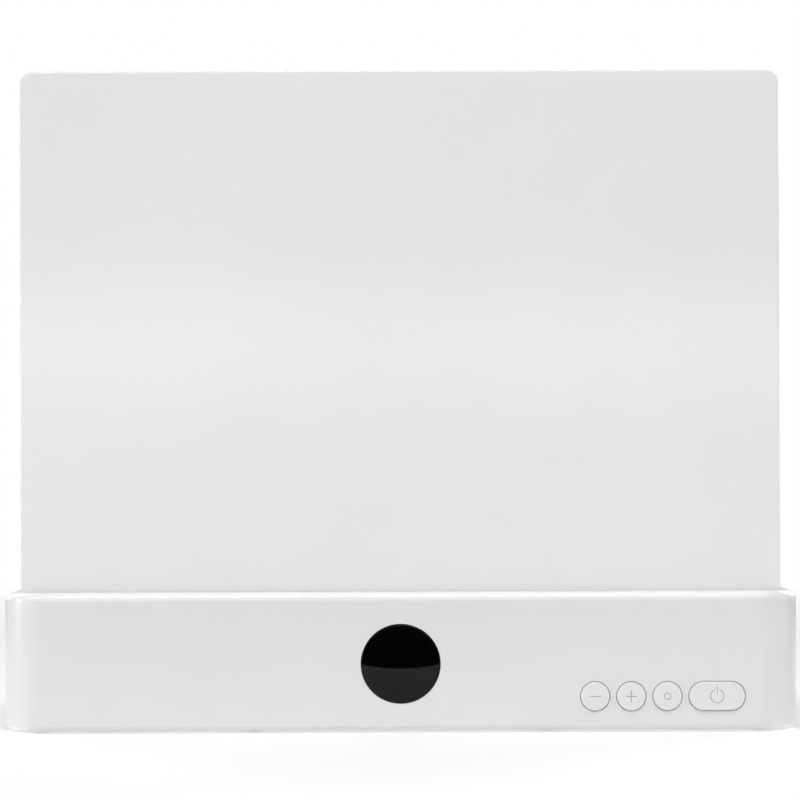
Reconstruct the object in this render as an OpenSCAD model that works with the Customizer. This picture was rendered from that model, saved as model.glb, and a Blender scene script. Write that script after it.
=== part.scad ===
// Reading lamp: an upright light panel that stands in a long low base.
// The base has a round display window in the middle of its front and four keys at the right.
// X runs to the right, Y to the back and Z up. The origin is on the table, below the middle of the base.

/* [Base] */
// Width of the base
base_w = 304.6; // [290:0.1:340]
// Depth of the base, front to back
base_d = 90; // [86:1:120]
// Height of the base's shell, without the feet
base_h = 52.3; // [49:0.1:70]
// Radius of the base's upright corners
base_corner_r = 16; // [12:0.5:20]
// Radius along the base's top edge
base_edge_r = 3.3; // [1:0.1:4.5]
// Chamfer along the base's lower edge
base_foot_chamfer = 0.5; // [0.2:0.1:1]
// Wall of the base's shell
base_wall = 2.4; // [2:0.1:3]
// Clearance round the bottom plate
bottom_gap = 0.2; // [0.1:0.05:0.4]
// Thickness of the bottom plate
bottom_t = 2.4; // [2:0.1:3]
// How far the bottom plate lies up inside the shell
bottom_recess = 0.4; // [0.2:0.1:1]
// Height of the rib round the bottom plate
bottom_rib_h = 2; // [1:0.1:2.2]

/* [Feet and ballast] */
// How far the rubber feet lift the shell off the table
foot_lift = 0.8; // [0.6:0.1:3]
// Diameter of a rubber foot
foot_d = 14; // [10:0.5:18]
// Depth of a foot's pocket in the bottom plate
foot_pocket = 1.2; // [0.8:0.1:1.4]
// Distance of a foot's centre from the end of the base
foot_inset_x = 38; // [34:1:48]
// Distance of a foot's centre from the front or back of the base
foot_inset_y = 16; // [14:0.5:20]
// Width of one ballast plate
ballast_w = 56; // [40:1:60]
// Depth of one ballast plate
ballast_d = 48; // [36:1:50]
// Thickness of one ballast plate
ballast_t = 6; // [3:0.5:7]

/* [Panel] */
// Height of the panel above the base
panel_h = 199.8; // [170:0.1:240]
// Thickness of the panel
panel_t = 16; // [15.5:0.5:20]
// Distance from the end of the base to the side of the panel
panel_inset = 6.65; // [4:0.05:10]
// Distance from the front of the base to the front of the panel
panel_setback = 10.25; // [10:0.25:14]
// Depth of the panel's foot in the base
panel_sink = 16; // [15.5:0.5:18]
// Radius of the panel's corners
panel_corner_r = 5; // [4:0.5:10]
// Radius along the front edge of the panel
panel_edge_r = 0.6; // [0.3:0.1:2]
// Radius along the back edge of the panel
cover_edge_r = 1.8; // [0.8:0.1:2]
// Clearance of the panel's foot in its slot
panel_gap = 0.3; // [0.2:0.05:0.5]
// Thickness of the diffuser's front
diffuser_t = 2.4; // [2:0.1:3]
// Thickness of the diffuser's side walls
diffuser_wall = 2; // [1.6:0.1:2.4]
// Depth of the rear cover's side walls
cover_depth = 4; // [3.5:0.1:5]
// Chamfer on both sides of the seam between the diffuser and the rear cover
seam_chamfer = 0.25; // [0.1:0.05:0.5]
// Wall of the rear cover
cover_wall = 2; // [1.6:0.1:2.4]
// Thickness of the lip that centres the rear cover
lip_t = 1.2; // [1:0.1:1.4]
// How far the lip reaches into the diffuser
lip_depth = 2; // [1.5:0.1:2.2]
// Clearance between the lip and the diffuser
lip_gap = 0.2; // [0.1:0.05:0.3]
// Width of a vent slot in the rear cover
vent_w = 2.4; // [1.5:0.1:3]
// Length of a vent slot
vent_l = 14; // [8:0.5:18]
// Distance from one vent slot to the next
vent_pitch = 10; // [6:0.5:14]

/* [Light stack] */
// Thickness of the diffusing sheet
sheet_t = 0.8; // [0.4:0.1:1]
// Thickness of the light guide
guide_t = 3; // [2.5:0.1:3.5]
// Thickness of the reflector
reflector_t = 0.4; // [0.2:0.1:0.6]
// Thickness of the heat spreader
spreader_t = 1.2; // [0.8:0.1:1.5]
// Thickness of a light strip's board
strip_t = 1; // [0.8:0.1:1.2]
// Height of a light source off its strip
led_h = 0.9; // [0.6:0.1:1.1]
// Distance from one light source to the next
led_pitch = 13; // [8:0.5:20]
// Air between the light sources and the guide's edge
led_air = 0.4; // [0.3:0.1:0.8]

/* [Display] */
// Diameter of the display window
window_d = 30.1; // [24:0.1:32]
// Height of the window's centre above the shell's lower edge
window_rise = 25.3; // [24:0.1:27]
// How far the window's face domes out
window_dome = 0.6; // [0.2:0.1:1.5]
// Clearance round the window
window_gap = 0.15; // [0.1:0.05:0.3]
// Thickness of the window's flange
window_flange_t = 1.2; // [1:0.1:1.5]
// Thickness of the window's gasket
gasket_t = 0.4; // [0.3:0.1:0.6]
// Depth of the light shroud behind the window
shroud_t = 3.5; // [3:0.1:3.6]

/* [Keys] */
// Diameter of a round key, and height of the power key
key_d = 10.9; // [9:0.1:12]
// Width of the power key
power_w = 21.2; // [20:0.1:24]
// Space between two keys
key_space = 2.8; // [2.2:0.1:5]
// Height of the keys' centres above the shell's lower edge
key_rise = 12.7; // [12.5:0.1:14]
// Distance from the last key to where the base's corner begins
key_margin = 5.75; // [2.5:0.05:12]
// Clearance round a key
key_gap = 0.25; // [0.15:0.05:0.35]
// How far a key stands out of the front
key_proud = 0.5; // [0.3:0.1:1]
// Travel of a key
key_travel = 0.5; // [0.3:0.05:0.6]
// Diameter of a key's guided shank
shank_d = 6; // [5:0.1:6.4]
// Running clearance of the shanks and switch stems
running_gap = 0.08; // [0.04:0.01:0.1]
// Thickness of the carrier that guides the keys
carrier_t = 2.5; // [2:0.1:3]

/* [Electronics] */
// Thickness of the circuit boards
board_t = 1.6; // [1.2:0.1:2]
// Width of the driver board
driver_w = 90; // [84:1:96]
// Depth of the driver board
driver_d = 34; // [32:0.5:36]
// Height of the posts under the driver board
driver_post_h = 5; // [4:0.5:7]
// Diameter of the inlet in the back of the base
inlet_d = 11; // [10:0.1:12]
// Depth of the power socket behind the back of the base
inlet_depth = 5.2; // [4.5:0.1:6]
// Bore of the power socket
socket_d = 6.3; // [6:0.1:6.5]
// Diameter of the power socket's centre pin
socket_pin_d = 2; // [1.6:0.1:2.5]

/* [Fasteners] */
// Thread diameter of the tapping screws
screw_d = 3; // [2.5:0.1:3]
// Head diameter of the tapping screws
screw_head_d = 5.2; // [4.8:0.1:5.4]
// Head height of the tapping screws
screw_head_h = 1.8; // [1.4:0.1:2]
// Thread diameter of the small board screws
board_screw_d = 2.2; // [1.8:0.1:2.4]
// Diameter of the bosses for the tapping screws
boss_d = 6.6; // [6:0.1:6.6]
// Clearance of a screw in its hole
screw_gap = 0.05; // [0.02:0.01:0.1]
// Thickness of the steel brackets that hold the panel
bracket_t = 1.5; // [1.2:0.1:2]
// Width of a bracket
bracket_w = 24; // [20:1:30]

/* [Hidden] */
$fn = 64;
dome_facets = 720;
// How far joined shapes of one moulding reach into each other.
join = 0.3;
// How far a cutting shape reaches past the face that it cuts.
past = 1;
// Clearance between separate pieces that don't bear on each other.
free_gap = 0.3;
rib_t = 1.6;
board_corner_r = 1.5;

white_shell = "whitesmoke";
black_part = "#161616";
board_green = "#1f5c3a";
steel = "silver";

// Levels of the base
shell_z = foot_lift;
base_top = shell_z + base_h;
ceiling_z = base_top - base_wall;
bottom_z = shell_z + bottom_recess;
floor_z = bottom_z + bottom_t;
front_y = -base_d / 2;
back_y = base_d / 2;
front_in = front_y + base_wall;
back_in = back_y - base_wall;

// Bosses for the screws of the bottom plate, and the wells that their heads lie in
well_wall = 0.9;
well_floor = 1.4;
well_rise = 3;
well_inset = 0.1;
well_d = screw_head_d + 2 * free_gap + 2 * well_wall;
boss_foot_z = floor_z + well_rise;
boss_edge = base_wall + bottom_gap + well_inset + well_d / 2;
corner_boss_reach = 1;
corner_boss_x = base_w / 2 - base_corner_r + corner_boss_reach;
base_screw_l = 10;

// Panel
panel_w = base_w - 2 * panel_inset;
panel_front = front_y + panel_setback;
panel_back = panel_front + panel_t;
panel_foot = base_top - panel_sink;
panel_top = base_top + panel_h;
panel_tall = panel_top - panel_foot;
panel_mid_z = (panel_top + panel_foot) / 2;
collar_h = 3;
seam_y = panel_back - cover_depth;
cover_in = panel_back - cover_wall;

// Light stack, from the front to the back
sheet_y = panel_front + diffuser_t;
guide_y = sheet_y + sheet_t;
reflector_y = guide_y + guide_t;
spreader_y = reflector_y + reflector_t;
spreader_back = spreader_y + spreader_t;
spreader_gap = 0.5;
spreader_half = panel_w / 2 - diffuser_wall - spreader_gap;
spreader_corner_r = panel_corner_r - diffuser_wall;
strip_x = spreader_half - spreader_t - strip_t;
led_x = strip_x - led_h;
guide_half = led_x - led_air;

// Screws of the rear cover stand clear of its lip, and the stack ends clear of them.
cover_boss_r = 3;
cover_boss_gap = 0.4;
cover_boss_inset = diffuser_wall + lip_gap + lip_t + cover_boss_r + cover_boss_gap;
cover_screw_inset = 25.5;
cover_screw_x = panel_w / 2 - cover_screw_inset;
cover_screw_l = 8;
cover_seat_t = 1.25;
cover_seat_y = cover_in - cover_seat_t;
cover_head_sink = 0.2;
cover_head_y = panel_back - screw_head_h - cover_head_sink;
stack_gap = 0.7;
stack_top = panel_top - cover_boss_inset - cover_boss_r - stack_gap;
stack_sink = 2;
stack_foot = base_top - stack_sink;
strip_margin = 1;
strip_over = 0.4;
strip_foot = stack_foot + strip_margin;
strip_top = stack_top - strip_margin;
spreader_foot = panel_foot + diffuser_wall + spreader_gap;
cover_screws = [for (x = [-1, 0, 1], z = [0, 1])
    [x * cover_screw_x, z == 0 ? panel_foot + cover_boss_inset : panel_top - cover_boss_inset]];

// Brackets and their screws
bracket_inset = 50.5;
bracket_x = panel_w / 2 - bracket_inset;
bracket_hole_dx = 6;
bracket_gap = 0.6;
bracket_rise = panel_sink - base_wall - collar_h - bracket_gap;
bracket_reach = 14;
bracket_screw_d = 4;
bracket_head_d = 7;
bracket_head_h = 2.2;
bracket_screw_l = 12;
bracket_screw_rise = 6.5;
bracket_screw_z = panel_foot + bracket_screw_rise;
bracket_hole_out = 7.2;
bracket_boss_y = panel_back + bracket_t + bracket_hole_out;
bracket_holes = [for (side = [-1, 1], dx = [-1, 1]) side * bracket_x + dx * bracket_hole_dx];

// Window and what stands behind it
window_z = shell_z + window_rise;
window_r = window_d / 2;
window_flange_w = 1.85;
flange_r = window_r + window_flange_w;
seat_gap = 0.2;
seat_r = flange_r + seat_gap;
window_flange_y = front_in + gasket_t;
shroud_y = window_flange_y + window_flange_t;
display_board_y = shroud_y + shroud_t;
module_w = 25;
module_h = 10;
module_t = 3;
display_screw_dx = 25;
display_screw_dz = 6.5;
display_board_w = 60;
display_board_h = 19.4;
display_board_drop = 2.6;
display_board_z = window_z - display_board_drop;

// Keys, from left to right
key_z = shell_z + key_rise;
row_end = base_w / 2 - base_corner_r - key_margin;
power_x = row_end - power_w / 2;
mode_x = row_end - power_w - key_space - key_d / 2;
plus_x = mode_x - key_d - key_space;
minus_x = plus_x - key_d - key_space;
key_places = [minus_x, plus_x, mode_x, power_x];
// The flanges reach past the bores above and below, and are narrower than the caps.
key_flange_t = 1;
key_flange_over = 1.7;
key_flange_short = 3.4;
key_flange_h = key_d + 2 * key_flange_over;
key_flange_w = key_d - key_flange_short;
power_flange_w = power_w - key_flange_short;
power_post_d = 3.2;
power_post_inset = 4.05;
power_post_dx = power_w / 2 - power_post_inset;
key_flange_y = front_in + free_gap;
carrier_y = key_flange_y + key_flange_t + key_travel + free_gap;
carrier_back = carrier_y + carrier_t;
nub_d = 3;
nub_l = 0.5;
stem_d = 3.4;
stem_y = carrier_back + nub_l;
stem_l = 1.7;
switch_y = stem_y + key_travel;
switch_w = 6;
switch_t = 3.5;
control_board_y = switch_y + switch_t;
control_screw_inset = 3.5;
control_screw_room = 6.8;
control_left = minus_x - key_d / 2 - control_screw_inset;
control_right = row_end - free_gap;
control_foot_gap = 1.4;
control_foot = floor_z + control_foot_gap;
control_top = key_z + key_flange_h / 2 + control_screw_room;
control_screw_z = control_top - control_screw_inset;
control_screws = [
    control_left + control_screw_inset,
    mode_x - (key_d + key_space) / 2,
    control_right - control_screw_inset];
mid_boss_gap = 8.8;
mid_boss_x = control_left - mid_boss_gap;

// Driver board, its posts and the power socket
driver_back = back_y - inlet_depth;
driver_front = driver_back - driver_d;
driver_z = floor_z + driver_post_h;
driver_top = driver_z + board_t;
driver_post_d = 6;
driver_post_inset = 4;
driver_posts = [for (x = [-1, 1], y = [driver_front + driver_post_inset, driver_back - driver_post_inset])
    [x * (driver_w / 2 - driver_post_inset), y]];
rear_boss_gap = 11;
rear_boss_x = driver_w / 2 + rear_boss_gap;
socket_w = 9.5;
socket_h = 11;
socket_l = 14.5;
socket_z = driver_top + socket_h / 2;
socket_bore_l = 9;
socket_pin_l = 8.5;

boss_places = concat(
    [for (x = [-1, 1]) [x * corner_boss_x, front_y + boss_edge]],
    [for (x = [-1, 1]) [x * mid_boss_x, front_y + boss_edge]],
    [for (x = [-1, 1]) [x * rear_boss_x, back_y - boss_edge]],
    [for (x = [-1, 1]) [x * corner_boss_x, back_y - boss_edge]]);
foot_places = [for (x = [-1, 1], y = [-1, 1])
    [x * (base_w / 2 - foot_inset_x), y * (base_d / 2 - foot_inset_y)]];

// Ballast plates, with the pegs that hold them. Their outer ends lie over the feet's.
ballast_x = base_w / 2 - foot_inset_x + foot_d / 2 - ballast_w / 2;
ballast_y = (control_board_y + back_y - boss_edge) / 2;
peg_d = 4;
peg_gap = 0.2;
peg_inset = 8;
pegs = [for (side = [-1, 1], end = [-1, 1])
    [side * ballast_x + end * (ballast_w / 2 - peg_inset), ballast_y + end * (ballast_d / 2 - peg_inset)]];

// Leads between the boards
lead_d = 2;
plug_w = 8;
plug_h = 5;
plug_t = 4;
plug_half = plug_w / 2;
plug_pitch = 16;
control_plug_inset = 6;
control_plug_x = control_left + control_plug_inset;
control_plug_y = control_board_y + board_t;
control_plug_z = driver_top + plug_t / 2;
feed_plug_x = control_plug_x + plug_pitch;
lead_drop = 6.6;
display_plug_x = 14;
display_plug_z = control_plug_z + lead_drop;
panel_plug_x = -20;
panel_plug_inset = 6;
panel_plug_y = driver_front + panel_plug_inset;
driver_plug_inset = 12;
driver_plug_y = driver_front + driver_plug_inset;
driver_plug_end = driver_w / 2 - 1;
strip_feed_rise = 10.5;
strip_feed_z = panel_foot + strip_feed_rise;
strip_feed_h = 7;
feed_plug_drop = 1;
feed_plug_z = strip_feed_z - feed_plug_drop;
lead_panel_y = spreader_back + strip_t + plug_t / 2;

// Outline of a rim in section: outwards to r, up to h, with a rounded top edge and a small chamfer below.
module edge_profile(r, h, top_r, chamfer = 0) {
    foot = chamfer > 0 ? [[r - chamfer, 0], [r, chamfer]] : [[r, 0]];
    polygon(concat([[0, 0]], foot, [[r, h - top_r], [r - top_r, h - top_r], [r - top_r, h], [0, h]]));
    translate([r - top_r, h - top_r])
        intersection() {
            circle(r = top_r);
            square(top_r);
        }
}

// Sweeps a section round a rounded rectangle. The section's x runs outwards from the corners' centres.
module swept_rim(w, d, r) {
    for (side = [0:3]) {
        across = side % 2 == 0 ? w : d;
        along = side % 2 == 0 ? d : w;
        rotate([0, 0, 90 * side])
            translate([across / 2 - r, along / 2 - r, 0]) {
                rotate([90, 0, 0])
                    linear_extrude(along - 2 * r)
                        children();
                rotate_extrude(angle = 90)
                    children();
            }
    }
}

// A plate with rounded corners, standing on z = 0.
module rounded_slab(w, d, h, r) {
    translate([-w / 2 + r, -d / 2 + r, 0])
        cube([w - 2 * r, d - 2 * r, h]);
    swept_rim(w, d, r)
        square([r, h]);
}

// A block with rounded corners and a rounded top edge, standing on z = 0.
module filleted_slab(w, d, h, r, top_r, chamfer) {
    translate([-w / 2 + r, -d / 2 + r, 0])
        cube([w - 2 * r, d - 2 * r, h]);
    swept_rim(w, d, r)
        edge_profile(r, h, top_r, chamfer);
}

// A cylinder that starts at y and runs towards the back.
module along_y(x, y, z, r, l) {
    translate([x, y, z])
        rotate([-90, 0, 0])
            cylinder(r = r, h = l);
}

// A bar with round ends that starts at y and runs towards the back.
module pill_along_y(x, y, z, w, h, l) {
    run = (w - h) / 2;
    along_y(x - run, y, z, h / 2, l);
    along_y(x + run, y, z, h / 2, l);
    translate([x - run, y, z - h / 2])
        cube([2 * run, l, h]);
}

// A pan-head screw: the head's underside is at z = 0, the shank points down.
module pan_screw(d, l, head_d, head_h) {
    slot_w = head_d * 0.16;
    slot_l = head_d * 0.58;
    difference() {
        union() {
            translate([0, 0, -l])
                cylinder(d = d, h = l);
            rotate_extrude()
                edge_profile(head_d / 2, head_h, head_h * 0.5);
        }
        for (a = [0, 90])
            rotate([0, 0, a])
                translate([-slot_l / 2, -slot_w / 2, head_h * 0.45])
                    cube([slot_l, slot_w, head_h]);
    }
}

// A round lead through way-points that lie in one plane, with straight runs and round bends.
function unit(v) = v / norm(v);
function turn(p, i) = acos(unit(p[i] - p[i - 1]) * unit(p[i + 1] - p[i]));
function trim(p, i, bend_r) = i == 0 || i == len(p) - 1 ? 0 : bend_r * tan(turn(p, i) / 2);
function axes(x, y, z, at) = [
    [x.x, y.x, z.x, at.x],
    [x.y, y.y, z.y, at.y],
    [x.z, y.z, z.z, at.z],
    [0, 0, 0, 1]];
module routed_lead(p, d, bend_r) {
    normal = unit(cross(p[1] - p[0], p[2] - p[1]));
    for (i = [0 : len(p) - 2]) {
        way = unit(p[i + 1] - p[i]);
        start = p[i] + way * trim(p, i, bend_r);
        run = norm(p[i + 1] - p[i]) - trim(p, i, bend_r) - trim(p, i + 1, bend_r);
        multmatrix(axes(cross(normal, way), normal, way, start))
            cylinder(d = d, h = run);
    }
    for (i = [1 : len(p) - 2]) {
        way = unit(p[i] - p[i - 1]);
        next = unit(p[i + 1] - p[i]);
        centre = p[i] + unit(next - way) * bend_r / cos(turn(p, i) / 2);
        out = unit(p[i] - way * trim(p, i, bend_r) - centre);
        multmatrix(axes(out, way, cross(out, way), centre))
            rotate_extrude(angle = turn(p, i))
                translate([bend_r, 0])
                    circle(d = d);
    }
}

// Base: the moulded shell

module base_shell() {
    difference() {
        translate([0, 0, shell_z])
            filleted_slab(base_w, base_d, base_h, base_corner_r, base_edge_r, base_foot_chamfer);
        translate([0, 0, shell_z - past])
            rounded_slab(base_w - 2 * base_wall, base_d - 2 * base_wall, base_h - base_wall + past,
                base_corner_r - base_wall);
    }
}

// What stands inside the shell is trimmed at the middle of its walls.
module within_shell() {
    intersection() {
        translate([0, 0, shell_z])
            rounded_slab(base_w - base_wall, base_d - base_wall, base_h - base_wall / 2,
                base_corner_r - base_wall / 2);
        union() children();
    }
}

module boss(place, foot_z) {
    translate([place.x, place.y, foot_z])
        cylinder(d = boss_d, h = ceiling_z - foot_z + join);
}

// Each boss of the bottom plate leans on the nearest long wall with a web.
module base_bosses() {
    web_foot_z = boss_foot_z + 2;
    for (place = boss_places) {
        boss(place, boss_foot_z);
        wall_y = place.y < 0 ? front_in - join : place.y;
        web = abs(back_in - abs(place.y)) + join;
        translate([place.x - rib_t / 2, wall_y, web_foot_z])
            cube([rib_t, web, ceiling_z - web_foot_z + join]);
    }
}

module panel_collar() {
    for (y = [panel_front - panel_gap - rib_t, panel_back + panel_gap])
        translate([-base_w / 2, y, ceiling_z - collar_h])
            cube([base_w, rib_t, collar_h + join]);
}

// U-shaped ribs that the panel's foot stands on.
module panel_saddles() {
    saddle_t = 2;
    saddle_h = 6;
    saddle_reach = 5;
    end_inset = 20;
    for (x = [-1, 1], place = [panel_w / 2 - end_inset, panel_w / 4])
        translate([x * place - saddle_t / 2, front_in - join, panel_foot - saddle_h])
            cube([saddle_t, panel_back - front_in + join + saddle_reach,
                ceiling_z - panel_foot + saddle_h + join]);
}

module bracket_bosses() {
    for (x = bracket_holes)
        boss([x, bracket_boss_y], panel_foot);
    for (side = [-1, 1])
        translate([side * bracket_x - bracket_hole_dx, bracket_boss_y - rib_t / 2, panel_foot + join])
            cube([2 * bracket_hole_dx, rib_t, ceiling_z - panel_foot]);
}

// Ribs under the top, behind the panel, clear of the bosses and the brackets.
module top_ribs() {
    rib_h = 5;
    outer_gap = 7;
    start_y = panel_back + panel_gap + rib_t - join;
    places = [rear_boss_x / 2, (rear_boss_x + bracket_x) / 2, bracket_x + bracket_w / 2 + outer_gap];
    for (side = [-1, 1], place = places)
        translate([side * place - rib_t / 2, start_y, ceiling_z - rib_h])
            cube([rib_t, back_in + join - start_y, rib_h + join]);
}

module window_seat() {
    seat_wall = 1.6;
    seat_depth = 2.6;
    difference() {
        along_y(0, front_in - join, window_z, seat_r + seat_wall, seat_depth + join);
        along_y(0, front_in - past, window_z, seat_r, seat_depth + 2 * past);
    }
}

display_holes = [for (x = [-1, 1], z = [-1, 1])
    [x * display_screw_dx, display_board_z + z * display_screw_dz]];
board_boss_r = 2.6;

module display_bosses() {
    for (hole = display_holes)
        along_y(hole[0], front_in - join, hole[1], board_boss_r, display_board_y - front_in + join);
}

module key_bosses() {
    for (x = control_screws)
        along_y(x, front_in - join, control_screw_z, board_boss_r, carrier_y - front_in + join);
}

module inlet_sleeve() {
    sleeve_wall = 1.5;
    start_y = driver_back + free_gap;
    along_y(0, start_y, socket_z, inlet_d / 2 + sleeve_wall, back_in + join - start_y);
}

module panel_pocket() {
    slot_r = 1.5;
    translate([0, (panel_front + panel_back) / 2, panel_foot])
        rounded_slab(panel_w + 2 * panel_gap, panel_t + 2 * panel_gap, panel_sink + past, slot_r);
}

module key_bores() {
    bore_d = key_d + 2 * key_gap;
    bore_l = base_wall + 2 * past;
    for (x = [minus_x, plus_x, mode_x])
        along_y(x, front_y - past, key_z, bore_d / 2, bore_l);
    pill_along_y(power_x, front_y - past, key_z, power_w + 2 * key_gap, bore_d, bore_l);
}

module inlet_bore() {
    mouth = 0.6;
    along_y(0, driver_back - past, socket_z, inlet_d / 2, inlet_depth + 2 * past);
    translate([0, back_y - mouth, socket_z])
        rotate([-90, 0, 0])
            cylinder(r1 = inlet_d / 2, r2 = inlet_d / 2 + 2 * mouth, h = 2 * mouth);
}

board_hole_r = board_screw_d / 2 + screw_gap;
display_pilot_l = 4.5;

module shell_pilots() {
    pilot_r = screw_d / 2 + screw_gap;
    for (place = boss_places)
        translate([place.x, place.y, boss_foot_z - past])
            cylinder(r = pilot_r, h = base_screw_l + past);
    for (x = bracket_holes)
        translate([x, bracket_boss_y, panel_foot - past])
            cylinder(r = pilot_r, h = base_screw_l + past);
    for (hole = display_holes)
        along_y(hole[0], display_board_y - display_pilot_l, hole[1], board_hole_r, display_pilot_l + past);
    for (x = control_screws)
        along_y(x, front_in, control_screw_z, board_hole_r, carrier_y - front_in + past);
}

module base_housing() {
    color(white_shell)
        difference() {
            union() {
                base_shell();
                within_shell() {
                    base_bosses();
                    panel_collar();
                    panel_saddles();
                    bracket_bosses();
                    top_ribs();
                    window_seat();
                    display_bosses();
                    key_bosses();
                    inlet_sleeve();
                }
            }
            panel_pocket();
            along_y(0, front_y - past, window_z, window_r + window_gap, base_wall + 2 * past);
            key_bores();
            inlet_bore();
            shell_pilots();
        }
}

// Base: bottom plate, feet and ballast

module bottom_blank() {
    plate_r = base_corner_r - base_wall - bottom_gap;
    plate_w = base_w - 2 * (base_wall + bottom_gap);
    plate_d = base_d - 2 * (base_wall + bottom_gap);
    translate([0, 0, bottom_z]) {
        rounded_slab(plate_w, plate_d, bottom_t, plate_r);
        swept_rim(plate_w, plate_d, plate_r)
            translate([plate_r - rib_t, 0])
                square([rib_t, bottom_t + bottom_rib_h]);
    }
}

module bottom_vents() {
    slot_w = 2.2;
    slot_l = 22;
    slot_pitch = 8;
    for (i = [-3:3])
        translate([i * slot_pitch - slot_w / 2, (driver_front + driver_back - slot_l) / 2, bottom_z - past])
            cube([slot_w, slot_l, bottom_t + 2 * past]);
}

module base_bottom() {
    well_r = screw_head_d / 2 + free_gap;
    peg_over = 1;
    color(white_shell)
        difference() {
            union() {
                bottom_blank();
                for (place = boss_places)
                    translate([place.x, place.y, bottom_z])
                        cylinder(d = well_d, h = boss_foot_z - bottom_z);
                for (place = driver_posts)
                    translate([place.x, place.y, floor_z - join])
                        cylinder(d = driver_post_d, h = driver_post_h + join);
                for (place = pegs)
                    translate([place.x, place.y, floor_z - join])
                        cylinder(d = peg_d, h = ballast_t + peg_over + join);
            }
            for (place = boss_places)
                translate([place.x, place.y, bottom_z - past]) {
                    cylinder(r = well_r, h = boss_foot_z - well_floor - bottom_z + past);
                    cylinder(d = screw_d + 2 * free_gap, h = boss_foot_z - bottom_z + 2 * past);
                }
            for (place = driver_posts)
                translate([place.x, place.y, floor_z])
                    cylinder(r = board_hole_r, h = driver_post_h + past);
            for (place = foot_places)
                translate([place.x, place.y, bottom_z - past])
                    cylinder(d = foot_d + 2 * bottom_gap, h = foot_pocket + past);
            bottom_vents();
        }
}

module ballast_plates() {
    corner_r = 3;
    color(steel)
        difference() {
            for (side = [-1, 1])
                translate([side * ballast_x, ballast_y, floor_z])
                    rounded_slab(ballast_w, ballast_d, ballast_t, corner_r);
            for (place = pegs)
                translate([place.x, place.y, floor_z - past])
                    cylinder(d = peg_d + 2 * peg_gap, h = ballast_t + 2 * past);
        }
}

module rubber_feet() {
    foot_edge = 0.5;
    color("#2b2b2b")
        for (place = foot_places)
            translate([place.x, place.y, bottom_z + foot_pocket])
                rotate([180, 0, 0])
                    rotate_extrude()
                        edge_profile(foot_d / 2, bottom_z + foot_pocket, foot_edge);
}

module base_screws() {
    color(steel)
        for (place = boss_places)
            translate([place.x, place.y, boss_foot_z - well_floor])
                rotate([180, 0, 0])
                    pan_screw(screw_d, base_screw_l, screw_head_d, screw_head_h);
}

// Display: window, gasket, shroud, module and board

module display_window() {
    dome_r = (window_r * window_r + window_dome * window_dome) / (2 * window_dome);
    body_l = window_flange_y - front_y;
    color(black_part)
        translate([0, window_flange_y, window_z])
            rotate([90, 0, 0])
                rotate_extrude() {
                    intersection() {
                        translate([0, body_l + window_dome - dome_r])
                            circle(r = dome_r, $fn = dome_facets);
                        square([window_r, body_l + window_dome]);
                    }
                    translate([0, -window_flange_t])
                        square([flange_r, window_flange_t]);
                }
}

module window_gasket() {
    bore_gap = 0.5;
    color("#3a3a3a")
        difference() {
            along_y(0, front_in, window_z, flange_r, gasket_t);
            along_y(0, front_in - past, window_z, window_r + bore_gap, gasket_t + 2 * past);
        }
}

module display_shroud() {
    wall = 1.2;
    inner_w = module_w + 2 * free_gap;
    inner_h = module_h + 2 * free_gap;
    color(black_part)
        difference() {
            union() {
                along_y(0, shroud_y, window_z, flange_r, wall);
                translate([-inner_w / 2 - wall, shroud_y, window_z - inner_h / 2 - wall])
                    cube([inner_w + 2 * wall, shroud_t, inner_h + 2 * wall]);
            }
            translate([-inner_w / 2, shroud_y - past, window_z - inner_h / 2])
                cube([inner_w, shroud_t + 2 * past, inner_h]);
        }
}

module display_module() {
    color("dimgray")
        translate([-module_w / 2, display_board_y - module_t, window_z - module_h / 2])
            cube([module_w, module_t, module_h]);
}

module display_board() {
    color(board_green)
        difference() {
            translate([0, display_board_y + board_t, display_board_z])
                rotate([90, 0, 0])
                    rounded_slab(display_board_w, display_board_h, board_t, board_corner_r);
            for (hole = display_holes)
                along_y(hole[0], display_board_y - past, hole[1], board_hole_r, board_t + 2 * past);
        }
}

// A board screw ends short of its pilot hole's end.
module board_screw(hole_l) {
    head_d = 4;
    head_h = 1.4;
    tip_gap = 0.6;
    pan_screw(board_screw_d, hole_l - tip_gap, head_d, head_h);
}

module display_screws() {
    color(steel)
        for (hole = display_holes)
            translate([hole[0], display_board_y + board_t, hole[1]])
                rotate([-90, 0, 0])
                    board_screw(board_t + display_pilot_l);
}

// Keys: carrier, board, switches, buttons and stems

// The outline that the carrier and the control board share, as a plate that ends at back.
module control_blank(back, t) {
    translate([(control_left + control_right) / 2, back, (control_foot + control_top) / 2])
        rotate([90, 0, 0])
            rounded_slab(control_right - control_left, control_top - control_foot, t, board_corner_r);
}

module button_carrier() {
    sleeve_l = control_board_y - carrier_back;
    post_r = 1.8;
    post_inset = 3;
    color("gainsboro")
        difference() {
            union() {
                control_blank(carrier_back, carrier_t);
                for (x = control_screws)
                    along_y(x, carrier_back - join, control_screw_z, board_boss_r, sleeve_l + join);
                for (x = [control_left + post_inset, control_right - post_inset])
                    along_y(x, carrier_back - join, control_foot + post_inset, post_r, sleeve_l + join);
            }
            for (x = key_places)
                along_y(x, carrier_y - past, key_z, shank_d / 2 + running_gap, carrier_t + 2 * past);
            for (side = [-1, 1])
                along_y(power_x + side * power_post_dx, carrier_y - past, key_z,
                    power_post_d / 2 + running_gap, carrier_t + 2 * past);
            for (x = control_screws)
                along_y(x, carrier_y - past, control_screw_z, board_hole_r,
                    control_board_y - carrier_y + 2 * past);
        }
}

module control_board() {
    color(board_green)
        difference() {
            control_blank(control_board_y + board_t, board_t);
            for (x = control_screws)
                along_y(x, control_board_y - past, control_screw_z, board_hole_r, board_t + 2 * past);
        }
}

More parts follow.
